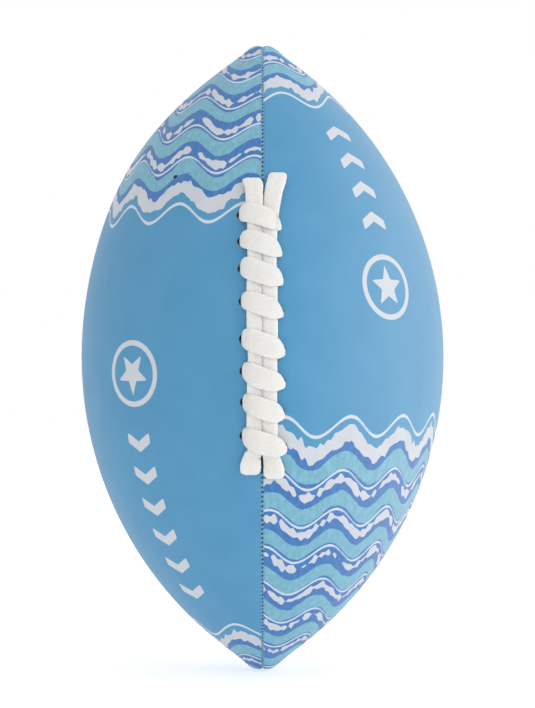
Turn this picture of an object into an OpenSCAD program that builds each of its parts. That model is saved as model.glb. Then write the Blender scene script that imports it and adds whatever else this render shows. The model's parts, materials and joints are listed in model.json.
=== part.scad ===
// Lace-up beach football: four laminated neoprene panels sewn round a rubber bladder.
// The long axis is Z, the lacing faces -Y, and the origin is the centre of the ball. Millimetres.

/* [Ball] */
// Length from tip to tip
ball_length = 265; // [245:1:285]
// Width across the side seams
ball_width = 154; // [144:1:162]
// Radius of the blunt nose at each tip
nose_radius = 7; // [6:0.5:9]
// Offset of each panel's centre of curvature past the ball's axis, which flattens the panels
panel_flatness = 9; // [6:1:14]

/* [Laminate] */
// Thickness of the printed jersey face
face_thickness = 0.4; // [0.3:0.1:0.6]
// Thickness of the neoprene foam core
foam_thickness = 2.4; // [2:0.1:3]
// Thickness of the woven lining
lining_thickness = 0.4; // [0.3:0.1:0.6]
// How far the turned-in seam allowance stands below the lining
seam_allowance = 5; // [4:0.5:6]

/* [Lacing] */
// Number of cross laces
cross_laces = 8; // [6:1:8]
// Mean distance from one cross lace to the next
lace_pitch = 12.7; // [12.5:0.1:13.8]
// Height of the middle of the lacing above the centre of the ball
lacing_centre = 11; // [8:0.5:13]
// Drop of a cross lace from its left hole to its right hole
lace_slope = 4.4; // [3:0.1:5]
// Distance of the cross-lace holes from the seam
hole_offset = 8.7; // [8:0.1:10]
// Distance of the end holes from the seam
end_hole_offset = 4.2; // [4:0.1:5]
// Radius of the lace holes
hole_radius = 2.2; // [1.9:0.1:2.4]
// Width of the flat lace
lace_width = 5.6; // [5:0.1:5.8]
// Thickness of the flat lace
lace_thickness = 2.2; // [1.8:0.1:2.4]

/* [Bladder and valve] */
// Wall of the bladder
bladder_wall = 1; // [0.8:0.1:1.4]
// Height of the valve above the centre of the ball
valve_height = 74; // [66:1:80]
// Turn of the valve from the lacing seam, about its panel's axis
valve_turn = 40; // [38:1:46]
// Radius of the needle socket in the valve plug
needle_radius = 1; // [0.9:0.05:1.2]
// Depth of the needle socket
needle_depth = 8; // [6:0.5:9]

/* [Hidden] */

blue = [0.30, 0.58, 0.78];
neoprene_black = [0.10, 0.10, 0.11];
lining_grey = [0.62, 0.64, 0.66];
thread_blue = [0.16, 0.34, 0.56];
lace_white = [0.93, 0.92, 0.88];
facing_black = [0.13, 0.13, 0.14];
rubber_black = [0.07, 0.07, 0.07];
bladder_grey = [0.20, 0.20, 0.22];

big = 2 * ball_length;
fit_gap = 0.3;                       // clearance between parts that only lie on each other
turn_facets = 96;                    // facets of a full turn

// Depths below the outer surface
foam_depth = face_thickness;
lining_depth = foam_depth + foam_thickness;
cover_depth = lining_depth + lining_thickness;
allowance_depth = cover_depth + seam_allowance;

// The seam's outline is one long arc that runs into a round nose at each tip.
half_width = ball_width / 2;
nose_height = ball_length / 2 - nose_radius;
arc_radius = (pow(half_width, 2) + pow(nose_height, 2) - pow(nose_radius, 2))
             / (2 * (half_width - nose_radius));
arc_centre = half_width - arc_radius;
nose_angle = atan2(nose_height, -arc_centre);
arc_steps = 28;
nose_steps = 4;

// A panel is a surface of revolution about an axis on the far side of the ball's own axis.
axis_shift = panel_flatness / sqrt(2);
past_axis = 1;                       // the outline runs on this far past the ball's axis

// Seam outline at a depth, from the lower tip to the upper tip, as [distance from the axis, height]
function arc_reach(depth) =
    depth < nose_radius - past_axis ? nose_angle : acos(-arc_centre / (arc_radius - depth)) + 0.4;
function upper_nose(depth) = let (r = nose_radius - depth) r > past_axis ? [
    for (i = [1 : nose_steps])
        let (turn = nose_angle + (90 + asin(past_axis / r) - nose_angle) * i / nose_steps)
        [r * cos(turn), nose_height + r * sin(turn)]
] : [];
function lower_nose(depth) = let (up = upper_nose(depth))
    [for (i = [len(up) - 1 : -1 : 0]) [up[i].x, -up[i].y]];
function long_arc(depth, from, to, steps) = [
    for (i = [0 : steps])
        let (turn = from + (to - from) * i / steps, r = arc_radius - depth)
        [arc_centre + r * cos(turn), r * sin(turn)]
];
function seam_outline(depth) = let (reach = arc_reach(depth)) concat(
    lower_nose(depth), long_arc(depth, -reach, reach, arc_steps), upper_nose(depth));

// Radius about the panel's own axis of a point on the seam
function panel_radius(seam_radius) = sqrt(pow(axis_shift, 2) + pow(seam_radius + axis_shift, 2));

// Everything inside the panel surface at a depth, for the front right panel
module panel_core(depth) {
    outline = seam_outline(depth);
    turned = [for (p = outline) [panel_radius(p.x), p.y]];
    translate([-axis_shift, axis_shift, 0])
        rotate_extrude($fn = turn_facets)
            polygon(concat([[0, turned[0].y]], turned, [[0, turned[len(turned) - 1].y]]));
}

// The same, cut off at a distance from both seam planes
module quarter(depth, edge) {
    intersection() {
        panel_core(depth);
        translate([edge, -big - edge, -big / 2]) cube([big, big, big]);
    }
}

// side: 1 is right, -1 is left. end: -1 is front, 1 is back.
module place(side, end) {
    mirror([side < 0 ? 1 : 0, 0, 0]) mirror([0, end > 0 ? 1 : 0, 0]) children();
}

module all_quarters(depth, edge) {
    for (side = [-1, 1], end = [-1, 1]) place(side, end) quarter(depth, edge);
}

// A point over the lacing: x from the seam, z along it, height above the surface
function arc_turn(z) = asin(z / arc_radius);
function seam_radius(turn) = arc_centre + arc_radius * cos(turn);
function side_drop(x, turn) = seam_radius(turn) + axis_shift
    - sqrt(pow(panel_radius(seam_radius(turn)), 2) - pow(abs(x) + axis_shift, 2));
function over(x, z, height) = let (turn = arc_turn(z)) [
    x,
    -seam_radius(turn) + side_drop(x, turn) - height * cos(turn),
    z + height * sin(turn)
];

// The cross laces run from left_z(k) to right_z(k). The end holes lie past the first and the last.
uneven = [0, 1.9, 3.5, 3, 0.6, 0.5, 0.8, 0];     // how far each hand-punched pair is off the even pitch
function left_z(k) =
    lacing_centre + lace_slope / 2 + lace_pitch * ((cross_laces - 1) / 2 - k) + uneven[k];
function right_z(k) = left_z(k) - lace_slope;
top_gap = 12;
bottom_gap = 8.5;
top_hole_z = left_z(0) + top_gap;
bottom_hole_z = right_z(cross_laces - 1) - bottom_gap;
zone_margin = 5;
zone_top = top_hole_z + zone_margin;
zone_bottom = bottom_hole_z - zone_margin;

module lace_hole(x, z) {
    hole_length = 16;
    translate(over(x, z, 0)) rotate([90 - arc_turn(z), 0, 0])
        cylinder(r = hole_radius, h = hole_length, center = true, $fn = 32);
}

module lace_holes() {
    for (k = [0 : cross_laces - 1]) {
        lace_hole(-hole_offset, left_z(k));
        lace_hole(hole_offset, right_z(k));
    }
    for (side = [-1, 1], z = [top_hole_z, bottom_hole_z]) lace_hole(side * end_hole_offset, z);
}

// A box round the lacing, wide to each side of the seam
module lacing_zone(half_width, margin = 0) {
    translate([-half_width, -big / 2, zone_bottom - margin])
        cube([2 * half_width, big / 2, zone_top - zone_bottom + 2 * margin]);
}

// The valve stands square to the front left panel. At a depth below the surface, +Z points inwards.
valve_seam_radius = seam_radius(arc_turn(valve_height));
valve_reach = panel_radius(valve_seam_radius);
valve_tilt = atan((valve_seam_radius + axis_shift) / valve_reach * tan(arc_turn(valve_height)));
module at_valve(depth) {
    translate([axis_shift, axis_shift, valve_height]) rotate([0, 0, -90 - valve_turn])
        translate([valve_reach, 0, 0]) rotate([0, -90 - valve_tilt, 0]) translate([0, 0, depth]) children();
}

// Stitches run across a seam. The seam at the front is sewn above and below the lacing only.
thread_size = 0.6;
thread_depth = cover_depth + 1.2;
stitch_radius = 0.24;
stitch_hole_radius = 0.3;
stitch_step = 2.5;                   // degrees along the seam's arc
seam_end = 53;                       // degrees along the arc where the sewing stops
upper_start = arc_turn(zone_top) + 1;
lower_start = arc_turn(zone_bottom) - 1;
module stitches(from, to, radius, length) {
    steps = ceil((to - from) / stitch_step);
    inset = (to - from) / steps / 2;
    for (p = long_arc(thread_depth + thread_size / 2, from + inset, to - inset, steps - 1))
        translate([0, -p.x, p.y]) rotate([0, 90, 0])
            cylinder(r = radius, h = length, center = true, $fn = 16);
}

module stitch_holes(side, end) {
    length = 2 * cover_depth + 4;
    rotate([0, 0, side * 90]) stitches(-seam_end, seam_end, stitch_hole_radius, length);
    if (end > 0)
        mirror([0, 1, 0]) stitches(-seam_end, seam_end, stitch_hole_radius, length);
    else {
        stitches(upper_start, seam_end, stitch_hole_radius, length);
        stitches(-seam_end, lower_start, stitch_hole_radius, length);
    }
}

// --- Panels: each ply runs down both of its seams and turns in as the seam allowance ---
module ply(outer, inner, side, end) {
    difference() {
        place(side, end) difference() {
            quarter(outer, outer);
            quarter(inner, inner);
            panel_core(allowance_depth);
        }
        stitch_holes(side, end);
        if (end < 0) {
            intersection() {
                place(side, end) panel_core(cover_depth);
                lacing_zone(hole_offset);
            }
            lace_holes();
        }
    }
}

face_hole_radius = needle_radius + 0.2;
stem_hole_radius = 4.2;
module valve_hole(radius) {
    hole_length = 20;
    at_valve(-hole_length / 2) cylinder(r = radius, h = hole_length, $fn = 48);
}

module face(side, end) {
    color(blue) difference() {
        ply(0, face_thickness, side, end);
        if (side < 0 && end < 0) valve_hole(face_hole_radius);
    }
}

module foam(side, end) {
    color(neoprene_black) difference() {
        ply(foam_depth, lining_depth, side, end);
        if (side < 0 && end < 0) valve_hole(stem_hole_radius);
    }
}

module lining(side, end) {
    color(lining_grey) difference() {
        ply(lining_depth, cover_depth, side, end);
        if (side < 0 && end < 0) valve_hole(stem_hole_radius);
    }
}

// --- Seam threads: a run down each side of the allowances, locked by stitches through them ---
module seam_thread(from, to) {
    run_x = cover_depth + 0.05;
    steps = ceil((to - from) / stitch_step);
    outer_edge = long_arc(thread_depth, from, to, steps);
    inner_edge = long_arc(thread_depth + thread_size, to, from, steps);
    color(thread_blue) union() {
        for (side = [0, 1]) mirror([side, 0, 0]) translate([run_x, 0, 0])
            rotate([90, 0, -90]) mirror([0, 0, 1]) linear_extrude(thread_size)
                polygon(concat(outer_edge, inner_edge));
        stitches(from, to, stitch_radius, 2 * run_x + thread_size);
    }
}

// --- Lace: one flat cord, swept through every hole in the order that it is threaded ---
strand_x = 3;
strand_height = lace_thickness / 2 + 0.25;
inside_height = -(cover_depth + 2.9);
cord_radius = 1.65;                  // the flat cord bunches up round in a hole
flat = [lace_width / 2, lace_thickness / 2];
bunched = [cord_radius, cord_radius];
knot = [2.4, 1.2];
sides = 10;
across = [1, 0];                     // the cord's width lies across the seam
along = [0, 1];                      // the cord's width lies along the seam

// A station: [x, z, height, [half width, half thickness], width direction]
function strand(side, upward) =
    let (x = side * strand_x, hole_x = side * end_hole_offset, low = bottom_hole_z, high = top_hole_z)
    let (down = [
        [hole_x, high, -2.5, bunched, across],
        [hole_x, high, 0.2, bunched, across],
        [hole_x - side * 0.3, high - 1.2, 1.5, [2.4, 1.2], across],
        for (i = [0 : 8]) [x, high - 3.6 - (high - low - 7.2) * i / 8, strand_height, flat, across],
        [hole_x - side * 0.3, low + 1.2, 1.5, [2.4, 1.2], across],
        [hole_x, low, 0.2, bunched, across],
        [hole_x, low, -2.5, bunched, across]
    ])
    upward ? [for (i = [len(down) - 1 : -1 : 0]) down[i]] : down;

// The cord comes out of a left hole, crosses both strands and goes into a right hole.
cross_profile = [
    [-1, -2.5], [-1, 0.4], [-0.92, 1.9], [-0.74, 3.1], [-0.4, 3.75], [0, 3.95],
    [0.4, 3.75], [0.74, 3.1], [0.92, 1.9], [1, 0.4], [1, -2.5]
];
function cross_lace(k) = [
    for (p = cross_profile)
        let (z = (left_z(k) + right_z(k)) / 2 + (right_z(k) - left_z(k)) / 2 * p[0])
        [p[0] * hole_offset, z, p[1], p[1] < 1 ? bunched : [2.6, 1.05], along]
];

// Under the facings, from one hole to the next
function inside_run(x0, z0, x1, z1, turn_in = along) = [
    for (s = [0.02, 0.08, 0.2, 0.5, 0.8, 0.92, 0.98])
        let (deep = s < 0.05 || s > 0.95 ? inside_height + 1.4 : s < 0.1 || s > 0.9 ? inside_height + 0.4
                  : inside_height)
        [x0 + (x1 - x0) * s, z0 + (z1 - z0) * s, deep, s < 0.1 || s > 0.9 ? [1.5, 1.2] : [2.3, 1.05],
         s < 0.1 ? turn_in : along]
];

tail_reach = 8;
lace_route = concat(
    [
        [-end_hole_offset - tail_reach, top_hole_z, inside_height, knot, along],
        [-end_hole_offset - tail_reach + 3, top_hole_z, inside_height, knot, along],
        [-end_hole_offset - 3.6, top_hole_z, inside_height, [1.6, 1.1], along],
        [-end_hole_offset - 1.2, top_hole_z, inside_height + 0.4, [1.5, 1.2], along],
        [-end_hole_offset - 0.1, top_hole_z, inside_height + 1.9, [1.6, 1.6], [0.7, 0.7]]
    ],
    strand(-1, false),
    inside_run(-end_hole_offset, bottom_hole_z, end_hole_offset, bottom_hole_z, [0.7, 0.7]),
    strand(1, true),
    inside_run(end_hole_offset, top_hole_z, -hole_offset, left_z(0), [0.7, 0.7]),
    [for (k = [0 : cross_laces - 1], station = concat(cross_lace(k),
        k < cross_laces - 1 ? inside_run(hole_offset, right_z(k), -hole_offset, left_z(k + 1)) : []))
        station],
    [
        [hole_offset + 0.4, right_z(cross_laces - 1), inside_height + 1.4, [1.5, 1.2], along],
        [hole_offset + 1.6, right_z(cross_laces - 1) - 0.4, inside_height + 0.2, [1.6, 1.1], along],
        [hole_offset + 3.2, right_z(cross_laces - 1) - 1, inside_height, knot, along],
        [hole_offset + 5.6, right_z(cross_laces - 1) - 2, inside_height, knot, along]
    ]
);

function unit(v) = v / norm(v);
function ring(at, ahead, size, lie) =
    let (forward = unit(ahead), wide = unit(lie - (lie * forward) * forward), thick = cross(forward, wide))
    [for (i = [0 : sides - 1])
        at + size[0] * cos(360 * i / sides) * wide + size[1] * sin(360 * i / sides) * thick];

module sweep(route) {
    last = len(route) - 1;
    at = [for (s = route) over(s[0], s[1], s[2])];
    points = [for (i = [0 : last])
        let (turn = arc_turn(route[i][1]), lie = route[i][4])
        let (ahead = i == 0 ? at[1] - at[0] : i == last ? at[last] - at[last - 1]
                   : unit(at[i + 1] - at[i]) + unit(at[i] - at[i - 1]))
        each ring(at[i], ahead, route[i][3], [lie[0], lie[1] * sin(turn), lie[1] * cos(turn)])];
    walls = [for (i = [0 : last - 1], j = [0 : sides - 1])
        let (a = i * sides + j, b = i * sides + (j + 1) % sides)
        each [[a, a + sides, b], [b, a + sides, b + sides]]];
    caps = [[for (j = [0 : sides - 1]) j], [for (j = [sides - 1 : -1 : 0]) last * sides + j]];
    polyhedron(points = points, faces = concat(caps, walls));
}

module lace() {
    color(lace_white) sweep(lace_route);
}

// --- Facing strips that back the lace holes, and the guard between the lace and the bladder ---
facing_width = 15;
facing_thickness = 1.2;
module lace_facing(side) {
    depth = cover_depth + 0.1;
    color(facing_black) difference() {
        intersection() {
            place(side, -1) difference() {
                quarter(depth, cover_depth + 0.2);
                panel_core(depth + facing_thickness);
            }
            lacing_zone(facing_width, -1);
        }
        lace_holes();
    }
}

guard_thickness = 1.2;
guard_depth = allowance_depth + 0.2;
module bladder_guard() {
    color(lining_grey) intersection() {
        difference() {
            all_quarters(guard_depth, 0);
            all_quarters(guard_depth + guard_thickness, 0);
        }
        lacing_zone(facing_width - 1, 4);
    }
}

// --- Bladder: pressed out between the seam allowances, and in under the lacing and the valve ---
lacing_bay_depth = guard_depth + guard_thickness + fit_gap;
valve_bay_depth = 5.4;
valve_bay_radius = 18.5;
housing_radius = 6;
module bladder_shape(skin) {
    difference() {
        union() {
            all_quarters(cover_depth + fit_gap + skin, cover_depth + 1 + skin);
            all_quarters(allowance_depth + fit_gap + skin, 0);
        }
        difference() {
            lacing_zone(facing_width + 2 + skin, 6 + skin);
            all_quarters(lacing_bay_depth + skin, 0);
        }
        difference() {
            at_valve(-10) cylinder(r = valve_bay_radius + skin, h = 30, $fn = 64);
            place(-1, -1) panel_core(valve_bay_depth + skin);
        }
    }
}

module bladder() {
    color(bladder_grey) difference() {
        bladder_shape(0);
        bladder_shape(bladder_wall);
        at_valve(0) cylinder(r = housing_radius + 0.05, h = 30, $fn = 48);
    }
}

// --- Valve: a rubber body bonded to the bladder, and the plug that the needle goes into ---
plug_radius = 2.7;
plug_depth = 0.6;
plug_length = 15;
module disc_between(outer, inner, radius) {
    intersection() {
        place(-1, -1) difference() {
            panel_core(outer);
            panel_core(inner);
        }
        at_valve(-5) cylinder(r = radius, h = 30, $fn = 64);
    }
}

module valve_patch() {
    color(lining_grey) difference() {
        disc_between(cover_depth + 0.1, cover_depth + 0.9, 17.5);
        valve_hole(stem_hole_radius);
    }
}

module valve_body() {
    flange_depth = cover_depth + 1;
    housing_bottom = 17;
    color(rubber_black) difference() {
        union() {
            disc_between(flange_depth, flange_depth + 1.1, 13);
            at_valve(plug_depth)
                cylinder(r = stem_hole_radius - 0.2, h = flange_depth + 0.5 - plug_depth, $fn = 48);
            at_valve(flange_depth + 0.3)
                cylinder(r = housing_radius, h = housing_bottom - flange_depth, $fn = 48);
        }
        at_valve(-1) cylinder(r = plug_radius, h = 30, $fn = 48);
    }
}

module valve_plug() {
    color(rubber_black) difference() {
        at_valve(plug_depth) cylinder(r = plug_radius - 0.05, h = plug_length, $fn = 48);
        at_valve(plug_depth - 1) cylinder(r = needle_radius, h = needle_depth + 1, $fn = 32);
    }
}

face(-1, -1);  // face_front_left
face(1, -1);  // face_front_right
face(-1, 1);  // face_back_left
face(1, 1);  // face_back_right
foam(-1, -1);  // foam_front_left
foam(1, -1);  // foam_front_right
foam(-1, 1);  // foam_back_left
foam(1, 1);  // foam_back_right
lining(-1, -1);  // lining_front_left
lining(1, -1);  // lining_front_right
lining(-1, 1);  // lining_back_left
lining(1, 1);  // lining_back_right
seam_thread(upper_start, seam_end);  // seam_thread_front_upper
seam_thread(-seam_end, lower_start);  // seam_thread_front_lower
mirror([0, 1, 0]) seam_thread(-seam_end, seam_end);  // seam_thread_back
rotate([0, 0, -90]) seam_thread(-seam_end, seam_end);  // seam_thread_left
rotate([0, 0, 90]) seam_thread(-seam_end, seam_end);  // seam_thread_right
lace();
lace_facing(-1);  // lace_facing_left
lace_facing(1);  // lace_facing_right
bladder_guard();
bladder();
valve_patch();
valve_body();
valve_plug();
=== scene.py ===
import json
import math

import bpy
import numpy as np
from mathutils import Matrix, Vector


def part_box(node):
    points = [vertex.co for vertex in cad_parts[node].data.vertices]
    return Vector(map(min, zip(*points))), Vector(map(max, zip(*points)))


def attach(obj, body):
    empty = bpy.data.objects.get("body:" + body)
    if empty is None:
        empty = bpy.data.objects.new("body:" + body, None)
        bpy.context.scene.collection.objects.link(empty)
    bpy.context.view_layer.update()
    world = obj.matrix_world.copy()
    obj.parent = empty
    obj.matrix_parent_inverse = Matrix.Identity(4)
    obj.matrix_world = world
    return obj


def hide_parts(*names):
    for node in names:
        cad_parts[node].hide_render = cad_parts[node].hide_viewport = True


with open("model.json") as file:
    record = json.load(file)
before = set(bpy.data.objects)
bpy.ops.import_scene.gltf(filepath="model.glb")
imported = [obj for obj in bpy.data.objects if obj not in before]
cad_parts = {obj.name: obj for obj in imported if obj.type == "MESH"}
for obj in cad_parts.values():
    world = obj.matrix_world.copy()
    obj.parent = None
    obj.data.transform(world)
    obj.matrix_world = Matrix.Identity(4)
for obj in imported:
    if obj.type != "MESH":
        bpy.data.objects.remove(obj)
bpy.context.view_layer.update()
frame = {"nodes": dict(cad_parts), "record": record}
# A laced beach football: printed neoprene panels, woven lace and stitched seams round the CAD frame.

MM = 0.001                           # lengths below are in millimetres
RIGHT, LEFT, FRONT, BACK = 1, -1, -1, 1

# --- The ball's shape, from the frame and the same rules as the CAD model ---
face_low, face_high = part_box("face_front_right")
HALF_WIDTH = face_high.x / MM
HALF_LENGTH = face_high.z / MM
NOSE = 7.0                           # radius of the blunt tips
FLATNESS = 9.0                       # how far a panel's own axis lies past the ball's
AXIS_SHIFT = FLATNESS / math.sqrt(2)
NOSE_HEIGHT = HALF_LENGTH - NOSE
ARC = (HALF_WIDTH ** 2 + NOSE_HEIGHT ** 2 - NOSE ** 2) / (2 * (HALF_WIDTH - NOSE))
ARC_CENTRE = HALF_WIDTH - ARC
NOSE_TURN = math.atan2(NOSE_HEIGHT, -ARC_CENTRE)
SEAM_ARC = ARC * NOSE_TURN           # from the ball's middle to where the nose begins, along a seam
SEAM_END = SEAM_ARC + NOSE * (math.pi / 2 - NOSE_TURN)

# --- The lacing: its rows lie as in the CAD model, its drawn holes are smaller ---
CROSS_LACES = 8
LACE_PITCH = 12.7
LACING_CENTRE = 11.0
LACE_SLOPE = 4.4
UNEVEN = (0, 1.9, 3.5, 3, 0.6, 0.5, 0.8, 0)
HOLE_OFFSET = 8.7
END_HOLE_OFFSET = 4.2
HOLE_RADIUS = 1.7
HOLE_PULL = (0.1, 0.4, 0.6, 1.0, 1.2, 1.4, 1.6, 1.4)           # how far in each row's left end is pulled
LACE_REACH = (-2.3, -2.0, -1.5, -1.5, -0.8, -0.7, -1.0, 0.0)   # how far out each row's right end reaches
TOP_GAP = 12.0
BOTTOM_GAP = 8.5

# --- The valve, as in the CAD model ---
VALVE_HEIGHT = 74.0
VALVE_TURN = math.radians(40)
VALVE_HOLE = 0.9

CAMERA_DISTANCE = 1200.0
FRAME_HEIGHT = 301.2                 # what the frame takes in, top to bottom, at the ball's middle


# --- Camera, light and floor ---
def add_camera():
    data = bpy.data.cameras.new("camera")
    data.sensor_width = 36
    data.lens = data.sensor_width * CAMERA_DISTANCE / FRAME_HEIGHT
    camera = bpy.data.objects.new("camera", data)
    bpy.context.scene.collection.objects.link(camera)
    camera.location = (2.1 * MM, -CAMERA_DISTANCE * MM, 1.5 * MM)
    camera.rotation_euler = (math.pi / 2, 0, 0)
    bpy.context.scene.camera = camera


def area_light(name, place, size, power, colour=(1, 1, 1)):
    data = bpy.data.lights.new(name, "AREA")
    data.shape = "DISK"
    data.size = size
    data.energy = power
    data.color = colour
    light = bpy.data.objects.new(name, data)
    bpy.context.scene.collection.objects.link(light)
    light.location = place
    light.rotation_euler = (-Vector(place)).to_track_quat("-Z", "Y").to_euler()


def add_world():
    """An even white room that lights the ball a little less from the left, to shade it softly."""
    world = bpy.data.worlds.new("studio")
    bpy.context.scene.world = world
    world.use_nodes = True
    nodes, links = world.node_tree.nodes, world.node_tree.links
    background = nodes["Background"]
    way = nodes.new("ShaderNodeTexCoord")
    split = nodes.new("ShaderNodeSeparateXYZ")
    fade = nodes.new("ShaderNodeMapRange")
    for name, value in (("From Min", -1), ("From Max", -0.12), ("To Min", 0.6), ("To Max", 1.0)):
        fade.inputs[name].default_value = value
    links.new(way.outputs["Generated"], split.inputs[0])
    links.new(split.outputs["X"], fade.inputs["Value"])
    seen = nodes.new("ShaderNodeLightPath")
    brighter = nodes.new("ShaderNodeMath")
    brighter.operation = "MAXIMUM"
    links.new(fade.outputs[0], brighter.inputs[0])
    links.new(seen.outputs["Is Camera Ray"], brighter.inputs[1])
    links.new(brighter.outputs[0], background.inputs["Strength"])
    background.inputs["Color"].default_value = (1, 1, 1, 1)


def add_floor():
    half = 4.0
    floor = bpy.data.meshes.new("floor")
    low = -HALF_LENGTH * MM - 0.0005
    corners = [(-half, -half, low), (half, -half, low), (half, half, low), (-half, half, low)]
    floor.from_pydata(corners, [], [(0, 1, 2, 3)])
    material = bpy.data.materials.new("floor")
    material.use_nodes = True
    shader = material.node_tree.nodes["Principled BSDF"]
    shader.inputs["Base Color"].default_value = (0.6, 0.6, 0.6, 1)
    shader.inputs["Roughness"].default_value = 0.9
    shader.inputs["Emission Color"].default_value = (1, 1, 1, 1)
    shader.inputs["Emission Strength"].default_value = 0.55
    floor.materials.append(material)
    obj = bpy.data.objects.new("floor", floor)
    bpy.context.scene.collection.objects.link(obj)


# --- Points on the ball ---
def profile(s):
    """Radius, height and slope angle of the seam's outline, s along it from the ball's middle."""
    length = np.abs(s)
    on_arc = length <= SEAM_ARC
    turn = np.where(on_arc, length / ARC, NOSE_TURN + (length - SEAM_ARC) / NOSE)
    radius = np.where(on_arc, ARC_CENTRE + ARC * np.cos(turn), NOSE * np.cos(turn))
    height = np.where(on_arc, ARC * np.sin(turn), NOSE_HEIGHT + NOSE * np.sin(turn))
    return radius, height * np.sign(s), turn * np.sign(s)


def along_seam(height):
    """Where on the outline a height is."""
    size = abs(height)
    if size <= ARC * math.sin(NOSE_TURN):
        length = ARC * math.asin(size / ARC)
    else:
        rise = min((size - NOSE_HEIGHT) / NOSE, 1)
        length = SEAM_ARC + NOSE * (math.asin(rise) - NOSE_TURN)
    return math.copysign(length, height)


def panel_arc(radius):
    """Radius of a panel about its own axis, and the angle at which its first seam lies."""
    return np.hypot(AXIS_SHIFT, radius + AXIS_SHIFT), np.arctan2(AXIS_SHIFT, radius + AXIS_SHIFT)


def over(x, z, height):
    """A point over the lacing: x from the seam, z up the ball, height above the surface."""
    turn = math.asin(z / ARC)
    radius = ARC_CENTRE + ARC * math.cos(turn)
    reach = math.hypot(AXIS_SHIFT, radius + AXIS_SHIFT)
    drop = radius + AXIS_SHIFT - math.sqrt(reach ** 2 - (abs(x) + AXIS_SHIFT) ** 2)
    return (x, -radius + drop - height * math.cos(turn), z + height * math.sin(turn))


def left_z(k):
    even = LACING_CENTRE + LACE_SLOPE / 2 + LACE_PITCH * ((CROSS_LACES - 1) / 2 - k)
    return even + UNEVEN[k]


def right_z(k):
    return left_z(k) - LACE_SLOPE


TOP_HOLE = left_z(0) + TOP_GAP
BOTTOM_HOLE = right_z(CROSS_LACES - 1) - BOTTOM_GAP


def panel_holes(side, end):
    """(x, z, radius) of each hole in a panel, as if the panel were the front right one."""
    if end == BACK:
        return []
    rows = left_z if side == LEFT else right_z
    pulled = [HOLE_PULL[k] if side == LEFT else 0.5 - min(LACE_REACH[k], 0) for k in range(CROSS_LACES)]
    holes = [(HOLE_OFFSET - pulled[k], rows(k), HOLE_RADIUS) for k in range(CROSS_LACES)]
    holes += [(END_HOLE_OFFSET, z, HOLE_RADIUS) for z in (TOP_HOLE, BOTTOM_HOLE)]
    if side == LEFT:
        radius = float(profile(along_seam(VALVE_HEIGHT))[0])
        reach = panel_arc(radius)[0]
        holes.append((reach * math.sin(VALVE_TURN) - AXIS_SHIFT, VALVE_HEIGHT, VALVE_HOLE))
    return holes


def flat_place(x, z):
    """(distance from the front seam, distance along it) of a point at (x, z) in the ball's own frame."""
    s = along_seam(z)
    reach, edge = panel_arc(float(profile(s)[0]))
    return float(reach * (math.asin((x + AXIS_SHIFT) / reach) - edge)), s


# --- The print: bands of plain waves towards the tips, a ringed star and a row of chevrons ---
# u is the distance across a panel from the front or back seam, v the distance along the ball.
LAYERS = ("royal", "teal", "foam", "line", "mark")
FAR = 6.0                            # distances past this don't matter
WAVE_LENGTH = 29.0
WAVE_SWING = 4.2
BAND_PITCH = 17.0                    # from one band of a colour to the next
WAVES_BEGIN = {LEFT: (0.42, 0.84), RIGHT: (0.78, 0.22)}      # above and below the middle, as shares
BADGE_PLACE = {LEFT: -0.04, RIGHT: 0.18}                     # along the ball, as a share
CHEVRON_COUNT = {LEFT: 6, RIGHT: 4}
CHEVRON_PITCH = 14.0
CHEVRON_HALF_WIDTH = 6.4
BADGE_RADIUS = 12.5


def smoothed(points, steps):
    """Catmull-Rom through the points."""
    points = np.array(points, float)
    last = len(points) - 1
    out = []
    for i in range(last):
        p0, p1, p2, p3 = (points[min(max(i + j, 0), last)] for j in (-1, 0, 1, 2))
        for t in np.arange(steps) / steps:
            out.append(0.5 * (2 * p1 + (p2 - p0) * t + (2 * p0 - 5 * p1 + 4 * p2 - p3) * t * t
                              + (3 * p1 - p0 - 3 * p2 + p3) * t ** 3))
    out.append(points[-1])
    return np.array(out)


def rough(x, y, seed=0.0):
    """Smooth noise from -1 to 1 that changes about once in every unit of x and y."""
    x, y = np.broadcast_arrays(np.asarray(x, float), np.asarray(y, float))
    column, row = np.floor(x), np.floor(y)
    fx, fy = x - column, y - row
    fx, fy = fx * fx * (3 - 2 * fx), fy * fy * (3 - 2 * fy)

    def corner(i, j):
        return 2 * ((np.sin(i * 127.1 + j * 311.7 + seed * 74.7) * 43758.5453) % 1) - 1

    low = corner(column, row) * (1 - fx) + corner(column + 1, row) * fx
    high = corner(column, row + 1) * (1 - fx) + corner(column + 1, row + 1) * fx
    return low * (1 - fy) + high * fy


def bands(depth, first, half):
    """Distance from the nearest band of a colour. The bands repeat inwards from the first one."""
    nearest = np.maximum(np.round((depth - first) / BAND_PITCH), 0)
    return np.abs(depth - first - nearest * BAND_PITCH) - half


def star_gap(across, along, size):
    """Distance from a star with five arms, below zero inside it."""
    fifth = 2 * math.pi / 5
    away = np.hypot(across, along)
    turn = np.abs((np.arctan2(across, along) + fifth / 2) % fifth - fifth / 2)
    notch = 0.42 * size
    rise, run = notch * math.sin(fifth / 2), size - notch * math.cos(fifth / 2)
    return ((away * np.cos(turn) - size) * rise + away * np.sin(turn) * run) / math.hypot(rise, run)


def chevron_gap(across, along, count):
    """Distance from a row of chevrons that starts where along is zero."""
    slope, half_thick = 0.6, 1.9
    centre = slope * CHEVRON_HALF_WIDTH / 2
    place = along % CHEVRON_PITCH - CHEVRON_PITCH / 2
    bar = np.abs(place + slope * np.abs(across) - centre) / math.hypot(1, slope) - half_thick
    gap = np.maximum(bar, np.abs(across) - CHEVRON_HALF_WIDTH)
    return np.where((along > 0) & (along < count * CHEVRON_PITCH), gap, FAR)


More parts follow.
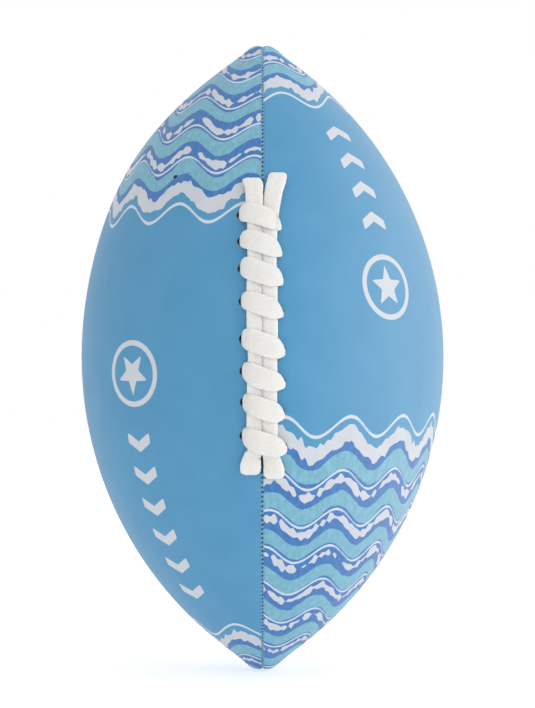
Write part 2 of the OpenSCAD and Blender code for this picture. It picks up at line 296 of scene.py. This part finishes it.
def paint(side, u, v):
    """{layer: distance from what it covers, below zero inside it} for one panel's print."""
    above, below = WAVES_BEGIN[side]
    begin = SEAM_END * np.where(v > 0, above, below)
    swell = WAVE_SWING * np.sin(2 * np.pi * u / WAVE_LENGTH + 2 * side + np.abs(v) / 30)
    depth = np.abs(v) - begin - swell
    bristle = 0.8 * rough(u / 10, depth / 1.3, 5) + 0.6 * rough(u / 4, v / 4, 6)
    spray = 1.7 * rough(u / 1.6, v / 7, 9)
    coats = {
        "royal": -depth + bristle,
        "teal": bands(depth, 10.0, 3.4) + bristle,
        "foam": np.minimum(np.abs(depth) - 3.2, bands(depth, 18.5, 1.3)) + spray,
        "line": np.minimum(np.abs(depth + 7.5) - 0.7, bands(depth, 14.8, 0.55)),
    }
    reach, edge = panel_arc(profile(v)[0])
    across = u - reach * (np.pi / 4 - edge)
    way = -1 if side == LEFT else 1
    along = (v - BADGE_PLACE[side] * SEAM_END) * way
    ring = np.abs(np.hypot(across, along) - BADGE_RADIUS) - 1.1
    badge = np.minimum(ring, star_gap(across, along, 0.72 * BADGE_RADIUS))
    row = chevron_gap(across, along - 1.7 * BADGE_RADIUS, CHEVRON_COUNT[side])
    coats["mark"] = np.minimum(badge, row)
    return {layer: np.clip(gap, -FAR, FAR) for layer, gap in coats.items()}


# --- Materials ---
class Shader:
    """A material's nodes, with short ways to make the ones that repeat."""

    def __init__(self, name):
        self.material = bpy.data.materials.new(name)
        self.material.use_nodes = True
        self.nodes = self.material.node_tree.nodes
        self.links = self.material.node_tree.links
        self.shader = self.nodes["Principled BSDF"]

    def feed(self, socket, value):
        if isinstance(value, bpy.types.NodeSocket):
            self.links.new(value, socket)
        else:
            socket.default_value = (*value, 1) if isinstance(value, tuple) and len(value) == 3 else value

    def set(self, **values):
        for name, value in values.items():
            self.feed(self.shader.inputs[name.replace("_", " ").title()], value)

    def math(self, operation, a, b=0.0, clamp=False):
        node = self.nodes.new("ShaderNodeMath")
        node.operation = operation
        node.use_clamp = clamp
        self.feed(node.inputs[0], a)
        self.feed(node.inputs[1], b)
        return node.outputs[0]

    def attribute(self, name):
        node = self.nodes.new("ShaderNodeAttribute")
        node.attribute_name = name
        return node.outputs["Fac"]

    def place(self):
        return self.nodes.new("ShaderNodeTexCoord").outputs["Object"]

    def noise(self, per_mm, detail=2.0, roughness=0.5, stretch=(1, 1, 1)):
        """Noise from about 0 to 1, with per_mm features to the millimetre."""
        mapping = self.nodes.new("ShaderNodeMapping")
        mapping.inputs["Scale"].default_value = stretch
        self.links.new(self.place(), mapping.inputs["Vector"])
        node = self.nodes.new("ShaderNodeTexNoise")
        node.inputs["Scale"].default_value = per_mm / MM
        node.inputs["Detail"].default_value = detail
        node.inputs["Roughness"].default_value = roughness
        self.links.new(mapping.outputs[0], node.inputs["Vector"])
        return node.outputs["Fac"]

    def fade(self, value, low, high, start=0.0, end=1.0):
        node = self.nodes.new("ShaderNodeMapRange")
        self.feed(node.inputs["Value"], value)
        for name, number in (("From Min", low), ("From Max", high), ("To Min", start), ("To Max", end)):
            node.inputs[name].default_value = number
        return node.outputs[0]

    def mix(self, amount, a, b):
        node = self.nodes.new("ShaderNodeMix")
        node.data_type = "RGBA"
        self.feed(node.inputs[0], amount)
        self.feed(node.inputs[6], a)
        self.feed(node.inputs[7], b)
        return node.outputs[2]

    def bump(self, height, strength, distance):
        node = self.nodes.new("ShaderNodeBump")
        node.inputs["Strength"].default_value = strength
        node.inputs["Distance"].default_value = distance * MM
        self.links.new(height, node.inputs["Height"])
        self.links.new(node.outputs[0], self.shader.inputs["Normal"])


PRINT_COLOURS = {
    "sky": (0.070, 0.285, 0.500),
    "royal": (0.040, 0.165, 0.430),
    "teal": (0.166, 0.400, 0.520),
    "foam": (0.600, 0.625, 0.680),
    "line": (0.600, 0.680, 0.760),
    "mark": (0.600, 0.630, 0.680),
}
# How ragged each layer's edge is, in millimetres, and how soft
EDGES = {"royal": (0.8, 0.15), "teal": (0.9, 0.15), "foam": (0.6, 0.1), "line": (0.3, 0.12),
         "mark": (0.1, 0.1)}


def jersey_material():
    s = Shader("printed_jersey")
    ragged = s.math("SUBTRACT", s.noise(0.35, 3, 0.6), 0.5)
    blotch = s.noise(0.06, 2)
    colour = s.mix(s.fade(blotch, 0.35, 0.65), PRINT_COLOURS["sky"], (0.080, 0.300, 0.520))
    streaks = s.noise(0.30, 2, 0.6, (2.0, 2.0, 0.5))
    for layer in LAYERS:
        amount, soft = EDGES[layer]
        gap = s.math("ADD", s.attribute(layer), s.math("MULTIPLY", ragged, amount))
        cover = s.fade(gap, soft, -soft)
        coat = PRINT_COLOURS[layer]
        if layer in ("royal", "teal"):
            lighter = tuple(min(c * 1.16 + 0.01, 1) for c in coat)
            coat = s.mix(s.fade(streaks, 0.42, 0.66), coat, lighter)
        if layer == "foam":
            coat = s.mix(s.fade(s.noise(0.12, 3), 0.45, 0.7), coat, (0.560, 0.590, 0.650))
        colour = s.mix(cover, colour, coat)
    knit = s.math("MULTIPLY", s.math("SINE", s.math("MULTIPLY", s.attribute("print_u"), 2 * math.pi / 0.7)),
                  s.math("SINE", s.math("MULTIPLY", s.attribute("print_v"), 2 * math.pi / 0.8)))
    colour = s.mix(s.fade(knit, -1, 1, 0.0, 0.07), colour, (0.02, 0.05, 0.09))
    # Pale veil over each right panel that grows away from its seam: painted sheen from the light on the
    # right.
    colour = s.mix(s.attribute("faded"), colour, (0.92, 0.93, 0.94))
    # Darker in the groove along each seam: painted shade.
    crease = s.fade(s.attribute("crease"), 0.0, 1.0, 0.55, 0.0)
    colour = s.mix(crease, colour, (0.018, 0.075, 0.170))
    rim = s.fade(s.attribute("rim"), 0.0, 0.35, 1.0, 0.0)
    colour = s.mix(rim, colour, (0.012, 0.012, 0.014))
    s.feed(s.shader.inputs["Base Color"], colour)
    s.feed(s.shader.inputs["Roughness"], s.fade(s.noise(0.8, 2), 0.3, 0.7, 0.62, 0.74))
    s.shader.inputs["Sheen Weight"].default_value = 0.18
    s.shader.inputs["Sheen Roughness"].default_value = 0.5
    s.shader.inputs["Specular IOR Level"].default_value = 0.4
    wrinkle = s.math("MULTIPLY", s.noise(0.5, 3), 0.6)
    s.bump(s.math("ADD", s.math("MULTIPLY", knit, 0.5), wrinkle), 0.35, 0.12)
    return s.material


def lace_material():
    s = Shader("cotton_lace")
    along, around = s.attribute("lace_along"), s.attribute("lace_around")
    pick = 2 * math.pi / 1.3
    one = s.math("SINE", s.math("MULTIPLY", s.math("ADD", along, around), pick))
    two = s.math("SINE", s.math("MULTIPLY", s.math("SUBTRACT", along, around), pick))
    weave = s.math("MAXIMUM", one, two)
    stain = s.noise(0.10, 3, 0.6)
    colour = s.mix(s.fade(stain, 0.4, 0.7), (0.785, 0.778, 0.760), (0.765, 0.742, 0.700))
    # Darker in the hollows of the weave: painted shade.
    colour = s.mix(s.fade(weave, -0.2, 0.9, 0.10, 0.0), colour, (0.48, 0.46, 0.42))
    s.feed(s.shader.inputs["Base Color"], colour)
    s.feed(s.shader.inputs["Roughness"], s.fade(stain, 0.3, 0.7, 0.85, 0.95))
    s.shader.inputs["Sheen Weight"].default_value = 0.3
    s.shader.inputs["Subsurface Weight"].default_value = 0.45
    s.shader.inputs["Subsurface Radius"].default_value = (1.0, 0.95, 0.9)
    s.shader.inputs["Subsurface Scale"].default_value = 2.2 * MM
    s.bump(s.math("ADD", weave, s.math("MULTIPLY", s.noise(2.5, 2), 0.8)), 0.35, 0.15)
    return s.material


def thread_material(colour):
    s = Shader("seam_thread")
    twist = s.noise(1.8, 2, 0.5, (1, 1, 2.5))
    dark = tuple(c * 0.6 for c in colour)
    s.feed(s.shader.inputs["Base Color"], s.mix(s.fade(twist, 0.35, 0.65), colour, dark))
    s.feed(s.shader.inputs["Roughness"], s.fade(twist, 0.3, 0.7, 0.45, 0.6))
    s.bump(twist, 0.4, 0.1)
    return s.material


def foam_material():
    s = Shader("neoprene_foam")
    cells = s.nodes.new("ShaderNodeTexVoronoi")
    cells.inputs["Scale"].default_value = 2.2 / MM
    s.links.new(s.place(), cells.inputs["Vector"])
    gap = cells.outputs["Distance"]
    colour = s.mix(s.fade(gap, 0.1, 0.7), (0.010, 0.010, 0.011), (0.030, 0.030, 0.032))
    s.feed(s.shader.inputs["Base Color"], colour)
    s.feed(s.shader.inputs["Roughness"], s.fade(gap, 0.1, 0.7, 0.75, 0.9))
    s.bump(gap, 0.5, 0.2)
    return s.material


def cloth_material(name, colour, thread):
    """A plain weave with threads that far apart."""
    s = Shader(name)
    split = s.nodes.new("ShaderNodeSeparateXYZ")
    s.links.new(s.place(), split.inputs[0])
    pick = 2 * math.pi / (thread * MM)
    warp = s.math("SINE", s.math("MULTIPLY", s.math("ADD", split.outputs[0], split.outputs[1]), pick))
    weft = s.math("SINE", s.math("MULTIPLY", split.outputs[2], pick))
    weave = s.math("MULTIPLY", warp, weft)
    fuzz = s.noise(0.7, 3)
    dark = tuple(c * 0.72 for c in colour)
    shade = s.mix(s.fade(weave, -0.6, 0.6), dark, colour)
    s.feed(s.shader.inputs["Base Color"], s.mix(s.fade(fuzz, 0.4, 0.7, 0.0, 0.3), shade, dark))
    s.feed(s.shader.inputs["Roughness"], s.fade(fuzz, 0.3, 0.7, 0.75, 0.9))
    s.bump(weave, 0.4, 0.15)
    return s.material


def rubber_material(name, colour, roughness):
    s = Shader(name)
    dust = s.noise(0.15, 4, 0.6)
    grain = s.noise(1.5, 2)
    pale = tuple(min(c * 1.5 + 0.01, 1) for c in colour)
    s.feed(s.shader.inputs["Base Color"], s.mix(s.fade(dust, 0.4, 0.7, 0.0, 0.6), colour, pale))
    s.feed(s.shader.inputs["Roughness"], s.fade(dust, 0.3, 0.7, roughness, roughness + 0.15))
    s.bump(grain, 0.25, 0.08)
    return s.material


# --- Pieces ---
def add_piece(name, points, faces, material):
    mesh = bpy.data.meshes.new(name)
    mesh.from_pydata((np.asarray(points) * MM).tolist(), [], faces)
    mesh.materials.append(material)
    mesh.shade_smooth()
    obj = bpy.data.objects.new(name, mesh)
    bpy.context.scene.collection.objects.link(obj)
    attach(obj, "root")
    return obj


def store(obj, **values):
    for name, numbers in values.items():
        layer = obj.data.attributes.new(name, "FLOAT", "POINT")
        layer.data.foreach_set("value", np.asarray(numbers, np.float32))


ROWS, COLUMNS = 401, 151
EDGE_ROLL = 1.15                     # the panel's edge rolls in to the seam with this radius
TURN_IN = (1.2, 2.6)                 # how far the edge goes on down the seam, past the roll
SEAM_GAP = 0.05


def roll(gap, radius):
    return radius - np.sqrt(np.maximum(radius ** 2 - np.maximum(radius - gap, 0) ** 2, 0))


class PanelGrid:
    """The grid that all four panels share: u across from the front or back seam, v along the ball."""

    def __init__(self):
        s = np.linspace(-SEAM_END + 0.25, SEAM_END - 0.25, ROWS)
        share = np.linspace(0, 1, COLUMNS)
        share = share - 0.075 * np.sin(2 * np.pi * share)
        self.radius, self.height, self.turn = (a[:, None] for a in profile(s))
        self.reach, self.edge = panel_arc(self.radius)
        self.phi = self.edge + share[None, :] * (np.pi / 2 - 2 * self.edge)
        self.u = self.reach * (self.phi - self.edge)
        self.width = self.reach * (np.pi / 2 - 2 * self.edge)
        self.v = np.broadcast_to(s[:, None], self.u.shape)
        self.seam = np.minimum(self.u, self.width - self.u)
        self.tilt = np.arctan2((self.radius + AXIS_SHIFT) * np.sin(self.turn), self.reach * np.cos(self.turn))


def tip_fullness(v):
    """How much further out the stuffed tips lie than the plain curve does."""
    return 2.3 * np.exp(-((SEAM_END - np.abs(v)) / 8.5) ** 2) * np.clip((SEAM_END - np.abs(v)) / 1.5, 0, 1)


def left_fullness(v):
    """How much further out than the right side the ball's left side lies, high up."""
    return 2.6 * np.exp(-((v - 92) / 42) ** 2)


def panel_mesh(grid, side, end):
    """Points, faces, and the u, v, crease and rim of each point."""
    pucker = 1 + 0.10 * np.sin(grid.v * 2 * np.pi / 6.3 + side) + 0.08 * np.sin(grid.v * 2 * np.pi / 17 + end)
    drop = roll(grid.seam, EDGE_ROLL * pucker)
    swell = 0.35 * np.sin(np.pi * np.clip(grid.u / grid.width, 0, 1)) ** 2
    drop = drop - swell * np.clip(grid.radius / 20, 0, 1)
    holes = panel_holes(side, end)
    rim = np.full(grid.u.shape, FAR)
    for x, z, radius in holes:
        u, v = flat_place(x, z)
        gap = np.hypot(grid.u - u, grid.v - v)
        rim = np.minimum(rim, gap - radius + (0.3 if radius < HOLE_RADIUS else 0))
        drop = drop + 0.5 * radius / HOLE_RADIUS * np.exp(-((gap / (1.9 * radius)) ** 2))
    normal = np.stack([np.sin(grid.phi) * np.cos(grid.tilt), -np.cos(grid.phi) * np.cos(grid.tilt),
                       np.broadcast_to(np.sin(grid.tilt), grid.u.shape)], -1)
    skin = np.stack([grid.reach * np.sin(grid.phi) - AXIS_SHIFT, AXIS_SHIFT - grid.reach * np.cos(grid.phi),
                     np.broadcast_to(grid.height, grid.u.shape)], -1)
    skin = skin - normal * drop[..., None]
    flat_reach = np.maximum(np.hypot(skin[..., 0], skin[..., 1]), 0.2)
    skin[..., :2] *= (1 + tip_fullness(grid.v) / flat_reach)[..., None]
    if side == LEFT:
        skin[..., 0] += left_fullness(grid.v) * np.clip(grid.u / grid.width, 0, 1) ** 1.5
    skin[..., 0] = np.maximum(skin[..., 0], SEAM_GAP)
    skin[..., 1] = np.minimum(skin[..., 1], -SEAM_GAP)
    flat = np.zeros(ROWS)
    turn, room = grid.turn[:, 0], grid.radius[:, 0] * 0.55
    first_in = np.stack([flat, np.cos(turn), -np.sin(turn)], -1)
    last_in = np.stack([-np.cos(turn), flat, -np.sin(turn)], -1)
    before = [skin[:, 0] + first_in * np.minimum(d, room)[:, None] for d in reversed(TURN_IN)]
    after = [skin[:, -1] + last_in * np.minimum(d, room)[:, None] for d in TURN_IN]
    points = np.concatenate([np.stack(before, 1), skin, np.stack(after, 1)], 1)
    pad = ((0, 0), (len(TURN_IN), len(TURN_IN)))
    fields = [np.pad(f, pad, mode="edge") for f in (grid.u, grid.v, grid.seam, rim)]
    for i in range(len(TURN_IN)):
        fields[2][:, i] = fields[2][:, -1 - i] = 0
    wide = points.shape[1]
    index = np.arange(ROWS * wide).reshape(ROWS, wide)
    quads = np.stack([index[:-1, :-1], index[:-1, 1:], index[1:, 1:], index[1:, :-1]], -1).reshape(-1, 4)
    points = points.reshape(-1, 3)
    fields = [f.reshape(-1) for f in fields]
    points, quads, fields = punch_holes(points, quads, fields, holes)
    points = points * np.array([side, -end, 1])
    if side * -end < 0:
        quads = quads[:, ::-1]
    return points, quads, fields


def punch_holes(points, quads, fields, holes):
    """Opens each hole, rounds its edge, and gives it a wall that goes down through the foam."""
    wall = 2.6                       # how deep the wall goes
    for x, z, radius in holes:
        centre = np.array(over(x, z, 0))
        s = along_seam(z)
        r, _, turn = (float(a) for a in profile(s))
        reach = float(panel_arc(r)[0])
        phi = math.asin((x + AXIS_SHIFT) / reach)
        tilt = math.atan2((r + AXIS_SHIFT) * math.sin(turn), reach * math.cos(turn))
        normal = np.array([math.sin(phi) * math.cos(tilt), -math.cos(phi) * math.cos(tilt), math.sin(tilt)])
        middles = points[quads].mean(1)
        gone = np.linalg.norm(middles - centre, axis=1) < radius
        lost, quads = quads[gone], quads[~gone]
        edges = {}
        for quad in lost:
            for a, b in zip(quad, np.roll(quad, -1)):
                edges[(int(a), int(b))] = (int(b), int(a))
        border = [e for e, back in edges.items() if back not in edges]
        ring = sorted({i for e in border for i in e})
        offset = points[ring] - centre
        lift = (offset @ normal)[:, None] * normal
        flat = offset - lift
        points[ring] = centre + lift + flat / np.linalg.norm(flat, axis=1)[:, None] * radius
        base = len(points)
        below = {i: base + j for j, i in enumerate(ring)}
        points = np.vstack([points, points[ring] - normal * wall])
        walls = np.array([(a, b, below[b], below[a]) for a, b in border])
        quads = np.vstack([quads, walls])
        fields = [np.concatenate([f, f[ring]]) for f in fields]
        fields[3][ring] = np.minimum(fields[3][ring], 0.1)
        fields[3][base:] = 0
    return points, quads, fields


def add_panels(material):
    grid = PanelGrid()
    for end, end_name in ((FRONT, "front"), (BACK, "back")):
        for side, side_name in ((LEFT, "left"), (RIGHT, "right")):
            points, quads, (u, v, seam, rim) = panel_mesh(grid, side, end)
            piece = add_piece(f"panel_{end_name}_{side_name}", points, quads.tolist(),
                              material)
            coats = paint(side if end == FRONT else -side, u, v)
            # Painted sheen: how pale each right panel is veiled across its width, where the light from the
            # right would brighten it.
            faded = 0.06 * np.clip(u / 45 - 0.3, 0, 1) * np.clip((v + 115) / 60, 0, 1) * (side == RIGHT)
            store(piece, print_u=u, print_v=v, crease=seam, rim=rim, faded=faded, **coats)
            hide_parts(f"face_{end_name}_{side_name}")


# --- Lace ---
STRAND_X = 2.95
STRAND_HEIGHT = 1.75
INSIDE = -6.1                        # how deep the lace runs inside the ball
ACROSS, SLANT, ALONG = 0.0, 45.0, 90.0


def strand(side, upward):
    """(x, z, height, half width, half thickness, lie) down one strand, from top hole to bottom hole."""
    x, hole, top, low = side * STRAND_X, side * END_HOLE_OFFSET, TOP_HOLE, BOTTOM_HOLE
    lean, rise = (2.6, 2.4) if side == RIGHT else (-0.5, 0.2)
    down = [(hole, top, -2.6, 1.7, 1.5, ACROSS),
            (hole + lean * 0.5, top + 0.9 + rise * 0.6, -0.6, 2.4, 1.4, ACROSS),
            (hole + lean * 0.8, top + 1.4 + rise, 1.0, 3.6, 1.25, ACROSS),
            (x + lean, top - 1.0 + rise * 0.5, 2.0, 3.9, 1.2, ACROSS),
            (x + lean * 0.55, top - 4.6, 1.7, 3.5, 1.15, ACROSS)]
    for i in range(1, 9):
        z = top - 6 - (top - low - 14) * i / 8
        wander = 0.22 * math.sin(1.7 * i + side)
        down.append((x + wander, z, STRAND_HEIGHT, 3.1 + 0.1 * math.sin(2.3 * i + side), 1.1, ACROSS))
    end = low - (0.9 if side == RIGHT else -0.6)
    down += [(side * 3.9, end + 4.5, 1.6, 3.5, 1.2, ACROSS), (side * 4.6, end + 1.2, 2.2, 4.15, 1.4, ACROSS),
             (side * 4.7, end - 1.4, 1.6, 4.0, 1.45, ACROSS), (side * 4.4, end - 1.9, -0.2, 2.8, 1.4, ACROSS),
             (hole, low - 0.4, -2.6, 1.7, 1.5, ACROSS)]
    return down[::-1] if upward else down


def cross_lace(k):
    """Out of the left hole, over both strands and down into the right hole."""
    # (x, share of the row's slope, height, half width, half thickness) of a row that isn't pulled in
    first = [(-8.3, 0.0, -2.6, 1.4, 1.2), (-8.4, 0.0, -0.8, 2.3, 1.2), (-8.3, 0.0, 0.4, 3.2, 1.1),
             (-7.7, 0.0, 1.6, 3.8, 1.0), (-6.4, 0.06, 2.8, 4.1, 0.9), (-4.2, 0.2, 3.3, 4.3, 0.85)]
    last = [(0, 0.5, 3.4, 4.35, 0.85), (4.2, 0.78, 3.3, 4.25, 0.85), (6.4, 0.96, 2.7, 3.8, 0.95),
            (8.0, 1.1, 1.7, 2.9, 1.05), (9.0, 1.2, 0.5, 1.6, 1.1), (8.8, 1.12, -0.9, 1.1, 1.1),
            (8.6, 1.0, -2.6, 1.3, 1.2)]
    pull, reach = HOLE_PULL[k], LACE_REACH[k]
    shape = [(x + pull * abs(x) / 8.3, *rest) for x, *rest in first]
    shape += [(x + reach * x / 9.0, *rest) for x, *rest in last]
    top, drop = left_z(k), LACE_SLOPE
    tug = 0.4 * math.sin(2.1 * k + 0.6)
    full = 1 + 0.06 * math.sin(3.7 * k)
    row = []
    for x, share, height, wide, thick in shape:
        z = top - drop * share + tug * math.sin(math.pi * min(share, 1))
        row.append((x, z, height, wide * full, thick, ALONG))
    return row


def inside_run(x0, z0, x1, z1, start=ALONG):
    """Under the facings from one hole to the next."""
    run = []
    for share in (0.03, 0.10, 0.24, 0.5, 0.76, 0.90, 0.97):
        edge = min(share, 1 - share)
        deep = INSIDE + (1.6 if edge < 0.05 else 0.5 if edge < 0.15 else 0)
        wide, thick = (1.6, 1.3) if edge < 0.15 else (2.3, 1.05)
        run.append((x0 + (x1 - x0) * share, z0 + (z1 - z0) * share, deep, wide, thick,
                    start if share < 0.05 else ALONG))
    return run


def lace_stations():
    knot, end, last = (2.4, 1.2), END_HOLE_OFFSET, CROSS_LACES - 1
    route = [(-end - 8, TOP_HOLE, INSIDE, *knot, ALONG), (-end - 5, TOP_HOLE, INSIDE, *knot, ALONG),
             (-end - 3.4, TOP_HOLE, INSIDE, 1.6, 1.1, ALONG),
             (-end - 1.2, TOP_HOLE, INSIDE + 0.5, 1.5, 1.2, ALONG)]
    route += strand(LEFT, False)
    route += inside_run(-end, BOTTOM_HOLE, end, BOTTOM_HOLE, SLANT)
    route += strand(RIGHT, True)
    route += inside_run(end, TOP_HOLE, -HOLE_OFFSET, left_z(0), SLANT)
    for k in range(CROSS_LACES):
        route += cross_lace(k)
        if k < last:
            route += inside_run(HOLE_OFFSET, right_z(k), -HOLE_OFFSET, left_z(k + 1))
    z = right_z(last)
    route += [(HOLE_OFFSET + 0.4, z, INSIDE + 1.4, 1.5, 1.2, ALONG),
              (HOLE_OFFSET + 1.8, z - 0.4, INSIDE, 1.6, 1.1, ALONG),
              (HOLE_OFFSET + 3.4, z - 1, INSIDE, *knot, ALONG),
              (HOLE_OFFSET + 5.6, z - 2, INSIDE, *knot, ALONG)]
    return route


def add_lace(material):
    step, sides = 0.55, 40
    stations = lace_stations()
    places = np.array([over(x, z, h) for x, z, h, *_ in stations])
    turns = np.array([math.asin(z / ARC) for _, z, *_ in stations])
    lies = np.radians([st[5] for st in stations])
    wide_way = np.stack([np.cos(lies), np.sin(lies) * np.sin(turns), np.sin(lies) * np.cos(turns)], -1)
    track = np.column_stack([places, [st[3] for st in stations], [st[4] for st in stations], wide_way])
    fine = smoothed(track, 12)
    travel = np.concatenate([[0], np.cumsum(np.linalg.norm(np.diff(fine[:, :3], axis=0), axis=1))])
    rings = int(travel[-1] / step)
    at = np.linspace(0, travel[-1], rings)
    track = np.stack([np.interp(at, travel, fine[:, i]) for i in range(fine.shape[1])], -1)
    centre, wide, thick = track[:, :3], track[:, 3], track[:, 4]
    ahead = np.gradient(centre, axis=0)
    ahead /= np.linalg.norm(ahead, axis=1)[:, None]
    way = track[:, 5:] - (track[:, 5:] * ahead).sum(1)[:, None] * ahead
    way /= np.linalg.norm(way, axis=1)[:, None]
    up = np.cross(ahead, way)
    angle = np.arange(sides) * 2 * np.pi / sides
    across = np.sign(np.cos(angle)) * np.abs(np.cos(angle)) ** 0.75
    over_under = np.sign(np.sin(angle)) * np.abs(np.sin(angle)) ** 0.85
    around = across[None, :] * wide[:, None]
    relief = 0.055 * np.maximum(np.sin((at[:, None] + around) * 2 * np.pi / 2.6),
                                np.sin((at[:, None] - around) * 2 * np.pi / 2.6))
    slack = 0.10 * np.sin(at / 3.1) + 0.07 * np.sin(at / 1.9 + 1)
    grow_wide = wide[:, None] + relief + slack[:, None] * 0.6
    grow_thick = thick[:, None] * (1 - 0.10 * (1 - np.abs(across)[None, :])) + relief
    points = (centre[:, None, :] + way[:, None, :] * (across[None, :] * grow_wide)[..., None]
              + up[:, None, :] * (over_under[None, :] * grow_thick)[..., None])
    index = np.arange(rings * sides).reshape(rings, sides)
    quads = np.stack([index[:-1], index[1:], np.roll(index, -1, 1)[1:], np.roll(index, -1, 1)[:-1]], -1)
    faces = quads.reshape(-1, 4).tolist() + [list(range(sides)), list(index[-1][::-1])]
    piece = add_piece("lace_cord", points.reshape(-1, 3), faces, material)
    store(piece, lace_along=np.repeat(at, sides), lace_around=around.reshape(-1))
    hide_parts("lace")


# --- Stitches across the seams ---
def stitch_row(name, starts, turn, material):
    """Short loops of thread across a seam, for each (from, to) stretch in starts. turn is about Z."""
    pitch, sides = 2.1, 8
    tall, long = 0.18, 0.62
    bend = [(-0.95, 0.8), (-0.8, 0.36), (-0.45, 0.34), (0, 0.5), (0.45, 0.34), (0.8, 0.36), (0.95, 0.8)]
    points, faces = [], []
    for start, stop in starts:
        for s in np.arange(start, stop, pitch):
            r, z, slope = (float(a) for a in profile(s))
            r += float(tip_fullness(s))
            out = Vector((0, -math.cos(slope), math.sin(slope)))
            along = Vector((0, math.sin(slope), math.cos(slope)))
            foot = Vector((0, -r, z))
            base = len(points)
            for i, (x, deep) in enumerate(bend):
                middle = foot + Vector((x, 0, 0)) - out * deep + along * (x * 0.3)
                thin = 0.7 if i in (0, len(bend) - 1) else 1
                for j in range(sides):
                    a = 2 * math.pi * j / sides
                    rise, run = thin * tall * math.sin(a), thin * long * math.cos(a)
                    points.append(middle + out * rise + along * run)
            for i in range(len(bend) - 1):
                for j in range(sides):
                    a, b = base + i * sides + j, base + i * sides + (j + 1) % sides
                    faces.append((a, b, b + sides, a + sides))
            faces.append(tuple(base + j for j in reversed(range(sides))))
            faces.append(tuple(base + (len(bend) - 1) * sides + j for j in range(sides)))
    points = np.array([tuple(p) for p in points])
    c, s = math.cos(turn), math.sin(turn)
    x, y, z = points.T
    add_piece(name, np.column_stack([x * c - y * s, x * s + y * c, z]), faces, material)


add_camera()
add_world()
add_floor()
area_light("key", (1.25, -0.7, 0.5), 1.0, 4.5)
bpy.context.scene.view_settings.view_transform = "Standard"

jersey = jersey_material()
cotton = lace_material()
thread = thread_material((0.17, 0.42, 0.62))
add_panels(jersey)
add_lace(cotton)
tip = SEAM_END - 4
below_lacing = (-tip, along_seam(BOTTOM_HOLE) - 3)
above_lacing = (along_seam(TOP_HOLE) + 4, tip)
stitch_row("stitches_front", [below_lacing, above_lacing], 0, thread)
stitch_row("stitches_right", [(-tip, tip)], math.pi / 2, thread)
stitch_row("stitches_back", [(-tip, tip)], math.pi, thread)
stitch_row("stitches_left", [(-tip, tip)], -math.pi / 2, thread)

looks = {"neoprene_foam": foam_material(),
         "woven_lining": cloth_material("woven_lining", (0.36, 0.38, 0.40), 0.9),
         "seam_thread": thread,
         "facing_cloth": cloth_material("facing_cloth", (0.016, 0.016, 0.018), 1.2),
         "guard_cloth": cloth_material("guard_cloth", (0.33, 0.35, 0.36), 0.7),
         "bladder_rubber": rubber_material("bladder_rubber", (0.032, 0.032, 0.038), 0.42),
         "patch_rubber": rubber_material("patch_rubber", (0.26, 0.27, 0.29), 0.6),
         "valve_rubber": rubber_material("valve_rubber", (0.006, 0.006, 0.006), 0.4),
         "plug_rubber": rubber_material("plug_rubber", (0.008, 0.008, 0.008), 0.5),
         "printed_jersey": jersey,
         "cotton_lace": cotton}
for part in frame["record"]["subparts"]:
    node = frame["nodes"][part["node"]]
    node.data.materials.clear()
    node.data.materials.append(looks[part["material_slot"]])
